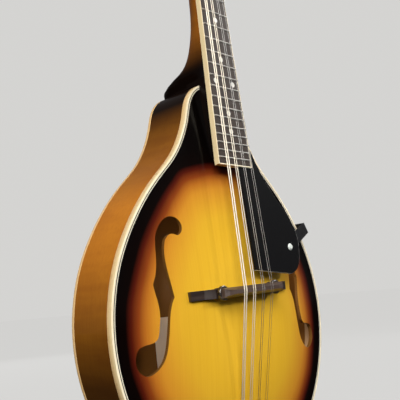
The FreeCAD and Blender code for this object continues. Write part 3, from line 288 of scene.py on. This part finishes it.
def rosewood(name, light, dark, rough=0.45):
    graph = Graph(name, rough=rough, Specular_IOR_Level=0.25)
    streak = graph.noise((260, 260, 11), 4, 0.6, 0.3)
    pores = graph.noise((2600, 2600, 120), 2, 0.5)
    base = graph.ramp(streak, [(0.3, dark), (0.55, light), (0.75, dark)])
    graph.colour(graph.mix(graph.remap(pores, 0.60, 0.72, 0.0, 0.7), base, dark))
    graph.rough(streak, rough - 0.08, rough + 0.1)
    graph.bump(pores, 0.00005, 0.35)
    return graph.mat


def bridge_wood():
    """Dark rosewood with its figure along the bridge, a little paler on the saddle towards the front."""
    graph = Graph("bridge_rosewood", rough=0.34, Specular_IOR_Level=0.5)
    streak = graph.noise((30, 260, 260), 4, 0.6, 0.6)
    _, y, _ = graph.axes()
    # The saddle is paler towards the front.
    paler_to_front = graph.remap(y, -0.0165, -0.021, 0.0, 1.0)
    base = graph.ramp(streak, [(0.3, (0.016, 0.010, 0.008)), (0.7, (0.034, 0.022, 0.018))])
    saddle = graph.ramp(streak, [(0.3, (0.042, 0.026, 0.021)), (0.7, (0.090, 0.064, 0.053))])
    graph.colour(graph.mix(paler_to_front, base, saddle))
    graph.rough(streak, 0.28, 0.45)
    graph.bump(streak, 0.0001, 0.3)
    return graph.mat


INNER_WOOD = (0.19, 0.080, 0.018)
PAPER = (0.86, 0.70, 0.52)
LABEL_ACROSS = (-0.039, 0.020)
LABEL_LEVELS = (-0.430, -0.3715)


def bare_wood(name):
    graph = Graph(name, rough=0.75)
    grain = graph.noise((420, 420, 14), 3)
    graph.colour(graph.ramp(grain, [(0.3, (0.36, 0.21, 0.10)), (0.7, (0.50, 0.32, 0.17))]))
    graph.bump(grain, 0.00005, 0.3)
    return graph.mat


def plastic(name, colour, rough=0.3, cloud=None, coat=0.4, specular=0.5):
    graph = Graph(name, colour=colour, rough=rough, Coat_Weight=coat, Coat_Roughness=0.1,
                  Specular_IOR_Level=specular)
    if cloud:
        graph.colour(graph.mix(graph.remap(graph.noise((90, 90, 25), 3), 0.35, 0.7), colour, cloud))
    graph.rough(graph.noise((300, 300, 300), 3), rough * 0.85, rough * 1.2)
    return graph.mat


def cream_binding():
    """Aged cream celluloid, more amber further back on the sides; faces turned to the front are painted paler, as
    painted light on the lit front edge.
    """
    graph = Graph("cream_binding", rough=0.3, Coat_Weight=0.4, Coat_Roughness=0.1, Specular_IOR_Level=0.3)
    _, y, _ = graph.axes()
    _, facing, _ = graph.normal_axes()
    side = graph.mix(graph.remap(y, 0.0045, 0.0100), (0.69, 0.56, 0.32), (0.68, 0.43, 0.18))
    # Painted light: faces turned to the front get a paler cream, as if lit from the front.
    front = graph.remap(graph.math("ABSOLUTE", facing), 0.5, 0.8)
    cloud = graph.remap(graph.noise((120, 120, 40), 3), 0.35, 0.7, 0.0, 0.35)
    base = graph.mix(front, side, (0.80, 0.72, 0.54))
    graph.colour(graph.mix(cloud, base, (0.74, 0.56, 0.32)))
    graph.rough(graph.noise((300, 300, 300), 3), 0.25, 0.36)
    return graph.mat


def guard_plastic():
    """Satin black sheet with a pale ply, painted only along its lower and outer edges; along the other edges the
    black bevel is painted shade over the ply.
    """
    graph = Graph("guard_plastic", rough=0.42, Specular_IOR_Level=0.10)
    x, facing, z = graph.normal_axes()
    tilted = graph.remap(graph.math("ABSOLUTE", facing), 0.97, 0.90)
    # The pale ply only where the edge faces down or outwards; the black left on the other edges is painted shade.
    outwards = graph.math("MAXIMUM", graph.remap(z, -0.25, -0.45), graph.remap(x, 0.25, 0.45))
    ply = graph.math("MULTIPLY", tilted, outwards)
    graph.colour(graph.mix(ply, (0.0045, 0.0045, 0.005), (1.0, 0.98, 0.94)))
    graph.rough(graph.noise((300, 300, 300), 3), 0.36, 0.48)
    return graph.mat


def metal(name, colour, rough=0.2, tint=None, metallic=1.0):
    graph = Graph(name, colour=colour, rough=rough, Metallic=metallic)
    marks = graph.noise((240, 240, 240), 5, 0.65)
    if tint:
        graph.colour(graph.mix(graph.remap(marks, 0.45, 0.8), colour, tint))
    graph.rough(marks, rough * 0.7, rough * 1.5)
    return graph.mat


WINDING_PITCH = 0.5 * MM


def wound_string():
    """Fine pale bronze winding: close turns across the string."""
    graph = Graph("bronze_winding", colour=(0.76, 0.69, 0.57), rough=0.42, Metallic=0.4)
    _, _, z = graph.axes()
    turns = graph.math("SINE", graph.math("MULTIPLY", z, 2 * math.pi / WINDING_PITCH))
    graph.bump(turns, 0.00004, 0.25)
    return graph.mat


def pearl():
    graph = Graph("pearl", rough=0.25, Coat_Weight=0.3, Coat_Roughness=0.08)
    swirl = graph.noise((320, 320, 320), 3, 0.5, 1.2)
    graph.colour(graph.ramp(swirl, [(0.3, (0.50, 0.50, 0.46)), (0.5, (0.66, 0.64, 0.58)),
                                    (0.7, (0.54, 0.56, 0.56))]))
    return graph.mat


# The half-width at which the tuner keys turn from metal shaft to cream button.
BUTTON_START = 37.3 * MM


def key_finish():
    """A tuner key: cream button outside the plates' edge, nickel worm and shaft inside it."""
    graph = Graph("key_button", rough=0.25)
    x, _, _ = graph.axes()
    button = graph.math("GREATER_THAN", graph.math("ABSOLUTE", x), BUTTON_START)
    cloud = graph.remap(graph.noise((90, 90, 90), 3), 0.35, 0.7)
    cream = graph.mix(cloud, (0.74, 0.66, 0.46), (0.66, 0.55, 0.34))
    graph.colour(graph.mix(button, (0.66, 0.64, 0.60), cream))
    graph.put(graph.math("SUBTRACT", 1.0, button), graph.bsdf.inputs["Metallic"])
    graph.rough(graph.noise((300, 300, 300), 3), 0.16, 0.30)
    return graph.mat


AMBER = (0.52, 0.185, 0.014)
UMBER = (0.32, 0.090, 0.008)
NECK_AMBER = (0.25, 0.082, 0.007)
NECK_UMBER = (0.15, 0.048, 0.005)
# Black of the burst; on the ribs towards the tail it also serves as painted shade.
BURST_AND_SHADE_BLACK = (0.0016, 0.0009, 0.0008)
MATERIALS = {
    "spruce_sunburst": top_finish(),
    "back_wood": flamed("back_maple", AMBER, UMBER, BURST_AND_SHADE_BLACK, back_shade, inside_of_back),
    "rib_wood": flamed("rib_maple", AMBER, UMBER, BURST_AND_SHADE_BLACK, rib_shade, inside_of_rib),
    "neck_wood": flamed("neck_maple", NECK_AMBER, NECK_UMBER, BURST_AND_SHADE_BLACK, neck_shade, None, TOP_GLOSS),
    "inner_wood": bare_wood("inner_wood"),
    "cream_binding": cream_binding(),
    "purfling": plastic("purfling", (0.62, 0.58, 0.46), 0.35),
    "black_plastic": plastic("black_plastic", (0.008, 0.008, 0.009), 0.25),
    "guard_plastic": guard_plastic(),
    "rosewood": rosewood("rosewood", (0.050, 0.038, 0.031), (0.026, 0.019, 0.016)),
    "bridge_wood": bridge_wood(),
    "head_veneer": plastic("black_veneer", (0.006, 0.005, 0.005), 0.3, None, 0.6, 0.2),
    "nickel_silver": metal("nickel_silver", (0.56, 0.53, 0.49), 0.34),
    "pearl": pearl(),
    "bone": plastic("bone", (0.74, 0.68, 0.53), 0.4, (0.66, 0.58, 0.42)),
    "steel": metal("plain_steel", (0.50, 0.50, 0.50), 0.3),
    "brass": metal("brass", (0.60, 0.42, 0.15), 0.3),
    "nickel": metal("nickel_plate", (0.66, 0.64, 0.60), 0.2, (0.52, 0.49, 0.44), 0.6),
    "gunmetal": metal("gunmetal", (0.20, 0.19, 0.18), 0.30, (0.12, 0.115, 0.11)),
    "black_metal": plastic("black_paint", (0.007, 0.007, 0.008), 0.42, None, 0.0, 0.2),
    "wound_string": wound_string(),
    "plain_string": metal("plain_string", (0.42, 0.41, 0.39), 0.40),
    "key": key_finish(),
}
BLACK_PLY = plastic("black_ply", (0.004, 0.004, 0.004), 0.4, None, 0.0, 0.2)
SATIN_SCREW = plastic("satin_screw", (0.56, 0.60, 0.57), 0.45, None, 0.1, 0.4)


def finish_nodes():
    """Every CAD node takes the material of its slot, save the pickguard screws, which take satin_screw."""
    slots = {entry["node"]: entry["material_slot"] for entry in frame["record"]["subparts"]}
    for name, item in frame["nodes"].items():
        item.data.materials.clear()
        item.data.materials.append(SATIN_SCREW if name == "pickguard_screws" else MATERIALS[slots[name]])


finish_nodes()


# ---------------------------------------------------------------- softened edges
def soften(name, width, segments=2, sharper_than=38):
    """Rounds a CAD node's sharp edges a little, as sanding and lacquer do."""
    item = frame["nodes"][name]
    weld = item.modifiers.new("weld", "WELD")
    weld.merge_threshold = 0.000005
    edge = item.modifiers.new("soft_edge", "BEVEL")
    edge.width = width
    edge.segments = segments
    edge.limit_method = "ANGLE"
    edge.angle_limit = math.radians(sharper_than)


SOFT_EDGES = {"pickguard": 0.7, "fretboard_binding": 0.35, "bridge_base": 0.7, "saddle": 0.7, "nut": 0.3,
              "truss_rod_cover": 0.3, "headstock_veneer": 0.4, "tailpiece_cover": 0.5,
              "pickguard_bracket": 0.3, "top_binding": 0.4, "back_binding": 0.4}
for node_name, width_mm in SOFT_EDGES.items():
    soften(node_name, width_mm * MM)


# ---------------------------------------------------------------- added pieces
def mesh_piece(name, mesh, materials, body):
    """A new piece from a bmesh, riding on a body."""
    data = bpy.data.meshes.new(name)
    mesh.to_mesh(data)
    mesh.free()
    for material in materials:
        data.materials.append(material)
    piece = bpy.data.objects.new(name, data)
    bpy.context.scene.collection.objects.link(piece)
    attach(piece, body)
    return piece


def front_loops(name):
    """The closed outlines of a flat ring's front face, longest first."""
    mesh = bmesh.new()
    mesh.from_mesh(frame["nodes"][name].data)
    bmesh.ops.remove_doubles(mesh, verts=mesh.verts, dist=0.000005)
    front = min(vert.co.y for vert in mesh.verts)
    cap = {face for face in mesh.faces if all(vert.co.y < front + 0.00002 for vert in face.verts)}
    following = {}
    for face in cap:
        for loop in face.loops:
            others = [near for near in loop.edge.link_faces if near in cap and near is not face]
            if not others:
                following[loop.vert.index] = loop.link_loop_next.vert.index
    mesh.verts.ensure_lookup_table()
    loops = []
    while following:
        start, current = following.popitem()
        points = [mesh.verts[start].co.copy()]
        while current != start:
            points.append(mesh.verts[current].co.copy())
            current = following.pop(current)
        loops.append(points)
    mesh.free()
    return sorted(loops, key=loop_length, reverse=True)


def loop_length(points):
    return sum((a - b).length for a, b in zip(points, points[1:] + points[:1]))


def nearest_on(points, spot):
    """The point of a closed polyline that is nearest to a spot."""
    best = None
    for start, end in zip(points, points[1:] + points[:1]):
        run = end - start
        share = max(0.0, min(1.0, (spot - start).dot(run) / max(run.length_squared, 1e-18)))
        found = start + run * share
        if best is None or (found - spot).length < (best - spot).length:
            best = found
    return best


# Where each line of the purfling ends, as a share of its width from the binding inwards.
PLY_ENDS = [0.0, 0.28, 0.72, 1.0]


def purfling_plies():
    """Black, pale and black lines inlaid inside the binding."""
    outer, inner = front_loops("top_purfling")[:2]
    mesh = bmesh.new()
    rows = []
    for spot in outer:
        across = nearest_on(inner, spot) - spot
        rows.append([mesh.verts.new(spot + across * share) for share in PLY_ENDS])
    for row, after in zip(rows, rows[1:] + rows[:1]):
        for number in range(len(PLY_ENDS) - 1):
            face = mesh.faces.new((row[number], row[number + 1], after[number + 1], after[number]))
            face.material_index = 0 if number == 1 else 1
    bmesh.ops.recalc_face_normals(mesh, faces=mesh.faces)
    facing = sum(face.normal.y * face.calc_area() for face in mesh.faces)
    if facing > 0:
        bmesh.ops.reverse_faces(mesh, faces=mesh.faces)
    piece = mesh_piece("purfling_lines", mesh, [MATERIALS["purfling"], BLACK_PLY], "frame")
    depth = piece.modifiers.new("depth", "SOLIDIFY")
    depth.thickness = 1.0 * MM
    depth.offset = -1.0
    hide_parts("top_purfling")


def knurled_wheel(node, body):
    """A thumbwheel with a ridged rim, in the place of the CAD disc."""
    low, high = [Vector(corner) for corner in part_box(node)]
    middle = (low + high) / 2
    radius = (high.x - low.x) / 2
    teeth = 44
    rings = [(1.8 * MM, low.y), (radius - 0.7 * MM, low.y), (radius, low.y + 0.4 * MM),
             (radius, high.y - 0.4 * MM), (radius - 0.7 * MM, high.y), (1.8 * MM, high.y)]
    mesh = bmesh.new()
    rows = []
    for step in range(teeth * 4):
        angle = 2 * math.pi * step / (teeth * 4)
        notch = 0.32 * MM if step % 4 in (1, 2) else 0.0
        row = []
        for reach, depth in rings:
            along = reach - (notch if reach == radius else 0.0)
            row.append(mesh.verts.new((middle.x + along * math.cos(angle), depth,
                                       middle.z + along * math.sin(angle))))
        rows.append(row)
    for row, after in zip(rows, rows[1:] + rows[:1]):
        for number in range(len(rings)):
            following = (number + 1) % len(rings)
            mesh.faces.new((row[number], row[following], after[following], after[number]))
    bmesh.ops.recalc_face_normals(mesh, faces=mesh.faces)
    piece = mesh_piece("knurled_" + node, mesh, [MATERIALS["gunmetal"]], body)
    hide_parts(node)


# Post, string radius in millimetres and finish, in the order of the posts' numbers.
WINDINGS = [(0.50, "wound_string"), (0.50, "wound_string"), (0.33, "wound_string"), (0.33, "wound_string"),
            (0.15, "plain_string"), (0.15, "plain_string"), (0.20, "plain_string"), (0.20, "plain_string")]
SLEEVE_RADIUS = 3.9 * MM
SLEEVE_DEPTHS = (-9.2 * MM, -4.8 * MM)


def winding(number, radius_mm, slot):
    """The turns of one string round its post."""
    joint = next(entry for entry in frame["joints"] if entry["name"] == "post_%d_turn" % number)
    axis = Vector(joint["axis"]).normalized()
    base = Vector(joint["pos_m"])
    right = Vector((1, 0, 0))
    up = axis.cross(right).normalized()
    radius = radius_mm * MM
    low, high = SLEEVE_DEPTHS
    turns = (high - low - 2 * radius) / (2.1 * radius)
    count = int(turns * 16)
    curve = bpy.data.curves.new("winding_%d" % number, "CURVE")
    curve.dimensions = "3D"
    curve.bevel_depth = radius
    curve.bevel_resolution = 2
    curve.use_fill_caps = True
    line = curve.splines.new("POLY")
    line.points.add(count)
    for step, point in enumerate(line.points):
        angle = 2 * math.pi * turns * step / count
        depth = low + radius + (high - low - 2 * radius) * step / count
        reach = SLEEVE_RADIUS + radius * 0.9
        spot = base + axis * depth + (right * math.cos(angle) + up * math.sin(angle)) * reach
        point.co = (*spot, 1)
    curve.materials.append(MATERIALS[slot])
    piece = bpy.data.objects.new("winding_%d" % number, curve)
    bpy.context.scene.collection.objects.link(piece)
    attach(piece, "post_%d" % number)


COURSES = {"course_g": "wound_string", "course_d": "wound_string", "course_a": "plain_string",
           "course_e": "plain_string"}
NUT_LEVEL = 0.0
HOOK_LEVEL = -0.476


def bending_course(node, slot):
    """A course in two pieces that meet on the saddle."""
    source = frame["nodes"][node]
    spots = [source.matrix_world @ vertex.co for vertex in source.data.vertices]
    peak = min(spots, key=lambda spot: spot.y)
    nut = Vector((0, 0, NUT_LEVEL))
    saddle = Vector((0, 0, peak.z))
    hook = Vector((0, 0, HOOK_LEVEL))
    lengths = [("speaking_length_", True, ("frame", "saddle"), nut, saddle),
               ("tail_length_", False, ("saddle", "frame"), saddle, hook)]
    for prefix, above, bodies, start, end in lengths:
        mesh = bmesh.new()
        mesh.from_mesh(source.data)
        mesh.transform(source.matrix_world)
        bmesh.ops.remove_doubles(mesh, verts=mesh.verts, dist=0.000002)
        everything = mesh.verts[:] + mesh.edges[:] + mesh.faces[:]
        bmesh.ops.bisect_plane(mesh, geom=everything, plane_co=saddle, plane_no=(0, 0, 1),
                               clear_inner=above, clear_outer=not above)
        bmesh.ops.holes_fill(mesh, edges=mesh.edges)
        data = bpy.data.meshes.new(prefix + node[-1])
        mesh.to_mesh(data)
        mesh.free()
        data.materials.append(MATERIALS[slot])
        piece = bpy.data.objects.new(prefix + node[-1], data)
        bpy.context.scene.collection.objects.link(piece)
        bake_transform(piece)
        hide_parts(node)


purfling_plies()
for course_node, course_slot in COURSES.items():
    bending_course(course_node, course_slot)
knurled_wheel("thumbwheel_bass", "wheel_bass")
knurled_wheel("thumbwheel_treble", "wheel_treble")
for post_number, (string_radius, string_slot) in enumerate(WINDINGS, start=1):
    winding(post_number, string_radius, string_slot)


# ---------------------------------------------------------------- stage, light and camera
def stage_floor():
    """A plain pale floor well below the instrument, which hangs by its neck."""
    mesh = bmesh.new()
    bmesh.ops.create_grid(mesh, x_segments=2, y_segments=2, size=30)
    data = bpy.data.meshes.new("floor")
    mesh.to_mesh(data)
    mesh.free()
    floor = bpy.data.objects.new("floor", data)
    floor.location = (0, 0, CAD_BOX[0][2] - 0.03)
    bpy.context.scene.collection.objects.link(floor)
    graph = Graph("pale_floor", colour=(0.03, 0.03, 0.03), rough=0.8, Specular_IOR_Level=0.0)
    graph.rough(graph.noise((3, 3, 3), 3), 0.7, 0.9)
    graph.bsdf.inputs["Emission Color"].default_value = (0.655, 0.65, 0.635, 1)
    seen = graph.add("ShaderNodeLightPath").outputs["Is Camera Ray"]
    graph.put(graph.math("MULTIPLY", seen, 0.97), graph.bsdf.inputs["Emission Strength"])
    data.materials.append(graph.mat)


MIDDLE = Vector((0, 0, -0.3))


def area_light(name, at, size, power, colour=(1, 1, 1), glossy=True):
    data = bpy.data.lights.new(name, "AREA")
    data.shape = "RECTANGLE"
    data.size, data.size_y = size
    data.energy = power
    data.color = colour
    light = bpy.data.objects.new(name, data)
    light.location = at
    light.rotation_euler = (MIDDLE - Vector(at)).to_track_quat("-Z", "Y").to_euler()
    light.visible_glossy = glossy
    bpy.context.scene.collection.objects.link(light)


def inside_light(at, power, radius):
    """A faint lamp in the sound box: through the f-holes the wood inside looks brown, not black."""
    data = bpy.data.lights.new("inside_light", "POINT")
    data.energy = power
    data.shadow_soft_size = radius
    data.color = (1.0, 0.93, 0.85)
    light = bpy.data.objects.new("inside_light", data)
    light.location = at
    light.visible_glossy = False
    bpy.context.scene.collection.objects.link(light)


def sun_light(towards, strength, spread):
    """A small hard light for the thin shadows of the strings, with no highlight of its own."""
    data = bpy.data.lights.new("sun", "SUN")
    data.energy = strength
    data.angle = math.radians(spread)
    data.color = (1.0, 0.97, 0.92)
    light = bpy.data.objects.new("sun", data)
    light.rotation_euler = (-Vector(towards)).to_track_quat("-Z", "Y").to_euler()
    light.visible_glossy = False
    bpy.context.scene.collection.objects.link(light)


def studio():
    """A pale surround for the camera, a dimmer one for the light it gives, and soft lamps."""
    world = bpy.data.worlds.new("studio")
    world.use_nodes = True
    tree = world.node_tree
    surround = tree.nodes["Background"]
    surround.inputs[0].default_value = (0.13, 0.13, 0.135, 1)
    backdrop = tree.nodes.new("ShaderNodeBackground")
    backdrop.inputs[0].default_value = (0.66, 0.655, 0.64, 1)
    rays = tree.nodes.new("ShaderNodeLightPath")
    pick = tree.nodes.new("ShaderNodeMixShader")
    tree.links.new(rays.outputs["Is Camera Ray"], pick.inputs[0])
    tree.links.new(surround.outputs[0], pick.inputs[1])
    tree.links.new(backdrop.outputs[0], pick.inputs[2])
    tree.links.new(pick.outputs[0], tree.nodes["World Output"].inputs[0])
    bpy.context.scene.world = world
    bpy.context.scene.view_settings.view_transform = "Standard"
    sun_light((0.48, -0.79, 0.39), 1.0, 2.0)
    inside_light((0.045, 0.020, -0.350), 0.085, 0.01)
    area_light("left_light", (-1.5, -1.5, 0.85), (1.5, 1.5), 92, (1.0, 0.98, 0.95))
    area_light("right_high_light", (1.6, -1.0, 1.3), (1.2, 1.2), 18)
    area_light("back_light", (0.9, 2.3, 0.6), (1.8, 1.8), 45, (1, 1, 1), False)
    area_light("treble_light", (2.3, 0.2, -0.1), (1.4, 1.8), 22, (1, 1, 1), False)


CAMERA_AT = Vector((-0.4146, -0.3800, -0.3598))
CAMERA_FORWARD = Vector((0.7012, 0.6962, 0.1532))
CAMERA_UP = Vector((-0.0496, -0.1667, 0.9847))
CAMERA_LENS = 58.35


def camera():
    data = bpy.data.cameras.new("camera")
    data.sensor_width = 36
    data.lens = CAMERA_LENS
    data.clip_start = 0.02
    data.clip_end = 100
    eye = bpy.data.objects.new("camera", data)
    back = -CAMERA_FORWARD.normalized()
    right = CAMERA_UP.cross(back).normalized()
    up = back.cross(right)
    turn = Matrix((right, up, back)).transposed().to_4x4()
    eye.matrix_world = Matrix.Translation(CAMERA_AT) @ turn
    bpy.context.scene.collection.objects.link(eye)
    bpy.context.scene.camera = eye


stage_floor()
studio()
camera()
